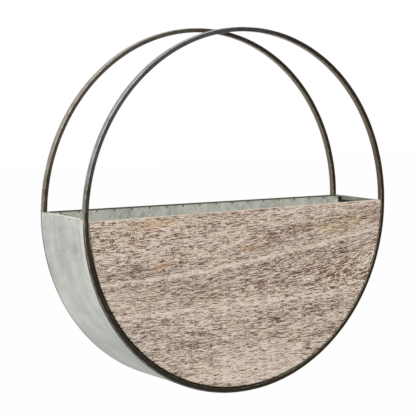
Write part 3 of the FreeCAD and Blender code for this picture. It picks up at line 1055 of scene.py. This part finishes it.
def solder_material():
    """Dull solder: clouds of flux stain over grey, specks of grime and a coarse tooth."""
    tint = colours()
    material, web, place = new_material("dull_solder")
    clouds = cloudy(web, place, 240.0, 3.0, 0.45)
    specks = speckled(web, place, 1200.0, 0.5)
    inputs = {
        "Base Color": web.coats(
            opaque(tint.solder), (tint.solder_dark, clouds), (tint.grime, web.times(specks, 0.4))
        ),
        "Roughness": web.remap(clouds, 0.0, 1.0, 0.42, 0.62),
        "Metallic": 0.6,
        "Normal": web.bump(toothed(web, place, 700.0), 0.5, 0.4 * MM),
    }
    return finish_material(material, web, inputs)


def screw_material():
    """Zinc-plated steel: fine clouds, specks of grime and a faint tooth."""
    tint = colours()
    material, web, place = new_material("zinc_plated_screw")
    clouds = cloudy(web, place, 320.0, 2.6, 0.45)
    specks = speckled(web, place, 1500.0, 0.5)
    inputs = {
        "Base Color": web.coats(
            opaque(tint.screw), (tint.zinc_dark, web.times(clouds, 0.6)), (tint.grime, web.times(specks, 0.5))
        ),
        "Roughness": web.remap(clouds, 0.0, 1.0, 0.30, 0.50),
        "Metallic": 0.9,
        "Normal": web.bump(toothed(web, place, 900.0), 0.3, 0.2 * MM),
    }
    return finish_material(material, web, inputs)


# Stage -------------------------------------------------------------------------------------------------


def make_floor(studio):
    """Pale floor far below the hanging planter, a flat grid over x and y. The camera sees most of it as
    white, and metal mirrors it as it does the world, bright behind the planter and dim in front."""
    half_width, white_share = 14.0, 0.975
    dim_y, bright_y = -1.6, 1.2
    material, web, place = new_material("studio_floor")
    matt = web.add(
        "ShaderNodeBsdfPrincipled",
        {
            "Base Color": opaque(studio.floor),
            "Roughness": 0.9,
            "Normal": web.bump(toothed(web, place, 30.0), 0.05, 2 * MM),
        },
        "BSDF",
    )
    light = web.node("ShaderNodeLightPath", {}).outputs
    mirrored = web.remap(web.split(place)[1], dim_y, bright_y, studio.mirrored_room, studio.mirrored_sky)
    strength = web.choose(light["Is Glossy Ray"], 1.0, mirrored)
    white = web.add("ShaderNodeEmission", {"Color": (1.0, 1.0, 1.0, 1.0), "Strength": strength})
    seen = web.times(web.larger(light["Is Camera Ray"], light["Is Transmission Ray"]), white_share)
    seen = web.larger(seen, light["Is Glossy Ray"])
    both = web.add("ShaderNodeMixShader", {"Fac": seen, "Shader": matt, "Shader_001": white})
    web.node("ShaderNodeOutputMaterial", {"Surface": both})
    material.cycles.emission_sampling = "NONE"

    lines = np.linspace(-half_width, half_width, 9)
    sheet = patch(grid_of(lines[:, None], lines, -studio.floor_drop))
    mesh = bpy.data.meshes.new("studio_floor")
    mesh.from_pydata(sheet["points"].reshape(-1, 3), [], patch_faces(sheet, 0)[0])
    mesh.materials.append(material)
    floor = bpy.data.objects.new("studio_floor", mesh)
    bpy.context.scene.collection.objects.link(floor)


def make_world(studio):
    """World that the camera sees as white. It lights the planter from above, behind and the left more than
    from the front right: brightness = room + (sky - room) * ease of the direction's share of the bright
    way."""
    bright_way = (-0.62, 0.70, 0.35)
    world = bpy.data.worlds.new("studio_world")
    bpy.context.scene.world = world
    world.use_nodes = True
    web = Web(world.node_tree)
    facing = web.dot(web.add("ShaderNodeTexCoord", {}, "Generated"), bright_way)
    light = web.node("ShaderNodeLightPath", {}).outputs
    level = web.choose(
        light["Is Glossy Ray"],
        web.remap(facing, -0.45, 0.55, studio.room, studio.sky),
        web.remap(facing, -0.35, 0.60, studio.mirrored_room, studio.mirrored_sky),
    )
    level = web.choose(light["Is Camera Ray"], level, 1.0)
    back = web.add("ShaderNodeBackground", {"Color": (1.0, 1.0, 1.0, 1.0), "Strength": level})
    web.node("ShaderNodeOutputWorld", {"Surface": back})
    world.cycles.sampling_method = "NONE"


def make_lamp(name, power, across, place, target):
    """Square soft lamp at a place, aimed at the target."""
    lamp = bpy.data.lights.new(name, "AREA")
    lamp.energy = power
    lamp.size = across
    made = bpy.data.objects.new(name, lamp)
    made.location = place
    made.rotation_euler = (Vector(place) - Vector(target)).to_track_quat("Z", "Y").to_euler()
    bpy.context.scene.collection.objects.link(made)


def make_camera(studio):
    """Camera at target + distance * (sin az cos el, -cos az cos el, sin el), looking at the target."""
    az, el = studio.azimuth, studio.elevation
    back = Vector((math.sin(az) * math.cos(el), -math.cos(az) * math.cos(el), math.sin(el)))
    camera = bpy.data.cameras.new("studio_camera")
    camera.sensor_width = 36.0
    camera.lens = studio.lens
    camera.clip_end = 100.0
    made = bpy.data.objects.new("studio_camera", camera)
    made.location = Vector(studio.target) + studio.distance * back
    made.rotation_euler = back.to_track_quat("Z", "Y").to_euler()
    bpy.context.scene.collection.objects.link(made)
    bpy.context.scene.camera = made


# Operators ---------------------------------------------------------------------------------------------


def dress(node, material):
    """Gives a CAD node its material."""
    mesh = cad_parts[node].data
    mesh.materials.clear()
    mesh.materials.append(material)


class PLANTER_OT_hoops(bpy.types.Operator):
    """Make both hoops of eased flat bar"""

    bl_idname = "planter.hoops"
    bl_label = "Hoops"

    def execute(self, context):
        material = steel_material()
        for node, start_y, seed in (("front_hoop", HOOP_LOW.y, 31), ("rear_hoop", REAR_LOW.y, 41)):
            make_piece(node + "_bar", [hoop_patch(start_y, seed)], material, node)
        return {"FINISHED"}


class PLANTER_OT_band(bpy.types.Operator):
    """Make the trough's band with its hems and punch marks"""

    bl_idname = "planter.band"
    bl_label = "Trough band"

    def execute(self, context):
        material = zinc_material(
            "galvanised_band",
            sheet_tint=colours().zinc,
            run_scale=(26.0, 60.0, 4.5),
            cloud_size=16.0,
            mottle=0.55,
            shine=0.40,
            own_marks=band_marks,
        )
        make_piece("trough_band_sheet", [band_patch()], material, "trough_band")
        return {"FINISHED"}


class PLANTER_OT_plates(bpy.types.Operator):
    """Give the trough's end plates their galvanised finish"""

    bl_idname = "planter.plates"
    bl_label = "End plates"

    def execute(self, context):
        material = zinc_material(
            "galvanised_plate",
            sheet_tint=colours().zinc_inside,
            run_scale=(70.0, 60.0, 12.0),
            cloud_size=52.0,
            mottle=0.92,
            shine=0.12,
            own_marks=plate_marks,
        )
        for node in ("trough_back", "trough_front"):
            dress(node, material)
        return {"FINISHED"}


class PLANTER_OT_board(bpy.types.Operator):
    """Make the weathered board with its carved relief"""

    bl_idname = "planter.board"
    bl_label = "Board"

    def execute(self, context):
        make_piece("weathered_board", board_patches(), wood_material(), "wood_board", 50.0)
        return {"FINISHED"}


class PLANTER_OT_screws(bpy.types.Operator):
    """Give the board's screws their zinc finish"""

    bl_idname = "planter.screws"
    bl_label = "Screws"

    def execute(self, context):
        dress("board_screws", screw_material())
        return {"FINISHED"}


class PLANTER_OT_solder(bpy.types.Operator):
    """Make the solder at the four corners of the rim"""

    bl_idname = "planter.solder"
    bl_label = "Solder"

    def execute(self, context):
        material = solder_material()
        corners = [(-1, "left", "front"), (1, "right", "front"), (-1, "left", "rear"), (1, "right", "rear")]
        for number, (side, side_name, end) in enumerate(corners):
            node = f"solder_{end}_{side_name}"
            make_piece(node + "_lump", solder_patches(side, end, number), material, node)
        return {"FINISHED"}


class PLANTER_OT_studio(bpy.types.Operator):
    """Make the floor, world, lamps and camera"""

    bl_idname = "planter.studio"
    bl_label = "Studio"

    def execute(self, context):
        studio = context.scene.planter_studio
        make_floor(studio)
        make_world(studio)
        make_lamp("key_lamp", studio.key, across=2.4, place=(-1.6, -2.4, 1.9), target=studio.target)
        make_lamp("fill_lamp", studio.fill, across=2.0, place=(0.4, -0.7, 2.4), target=studio.target)
        make_camera(studio)
        context.scene.view_settings.view_transform = "Standard"
        return {"FINISHED"}


PIECES = (
    PLANTER_OT_hoops,
    PLANTER_OT_band,
    PLANTER_OT_plates,
    PLANTER_OT_board,
    PLANTER_OT_screws,
    PLANTER_OT_solder,
    PLANTER_OT_studio,
)
GROUPS = {"planter_sizes": PlanterSizes, "planter_colours": PlanterColours, "planter_studio": PlanterStudio}


class PLANTER_PT_panel(bpy.types.Panel):
    """Lists the planter's pieces, sizes, colours and studio"""

    bl_idname = "PLANTER_PT_panel"
    bl_label = "Wall planter"
    bl_space_type = "VIEW_3D"
    bl_region_type = "UI"
    bl_category = "Planter"

    def draw(self, context):
        for operator in PIECES:
            self.layout.operator(operator.bl_idname)
        for name, group in GROUPS.items():
            box = self.layout.box()
            for key in group.__annotations__:
                box.prop(getattr(context.scene, name), key)


CLASSES = (*GROUPS.values(), *PIECES, PLANTER_PT_panel)


def register():
    """Registers the classes and gives the scene its property groups."""
    for each in CLASSES:
        bpy.utils.register_class(each)
    for name, group in GROUPS.items():
        setattr(bpy.types.Scene, name, bpy.props.PointerProperty(type=group))


def unregister():
    """Takes the property groups and classes away again."""
    for name in GROUPS:
        delattr(bpy.types.Scene, name)
    for each in reversed(CLASSES):
        bpy.utils.unregister_class(each)


def main():
    """Makes every piece and the stage."""
    register()
    for operator in PIECES:
        getattr(bpy.ops.planter, operator.bl_idname.split(".")[1])()


if __name__ == "__main__":
    main()
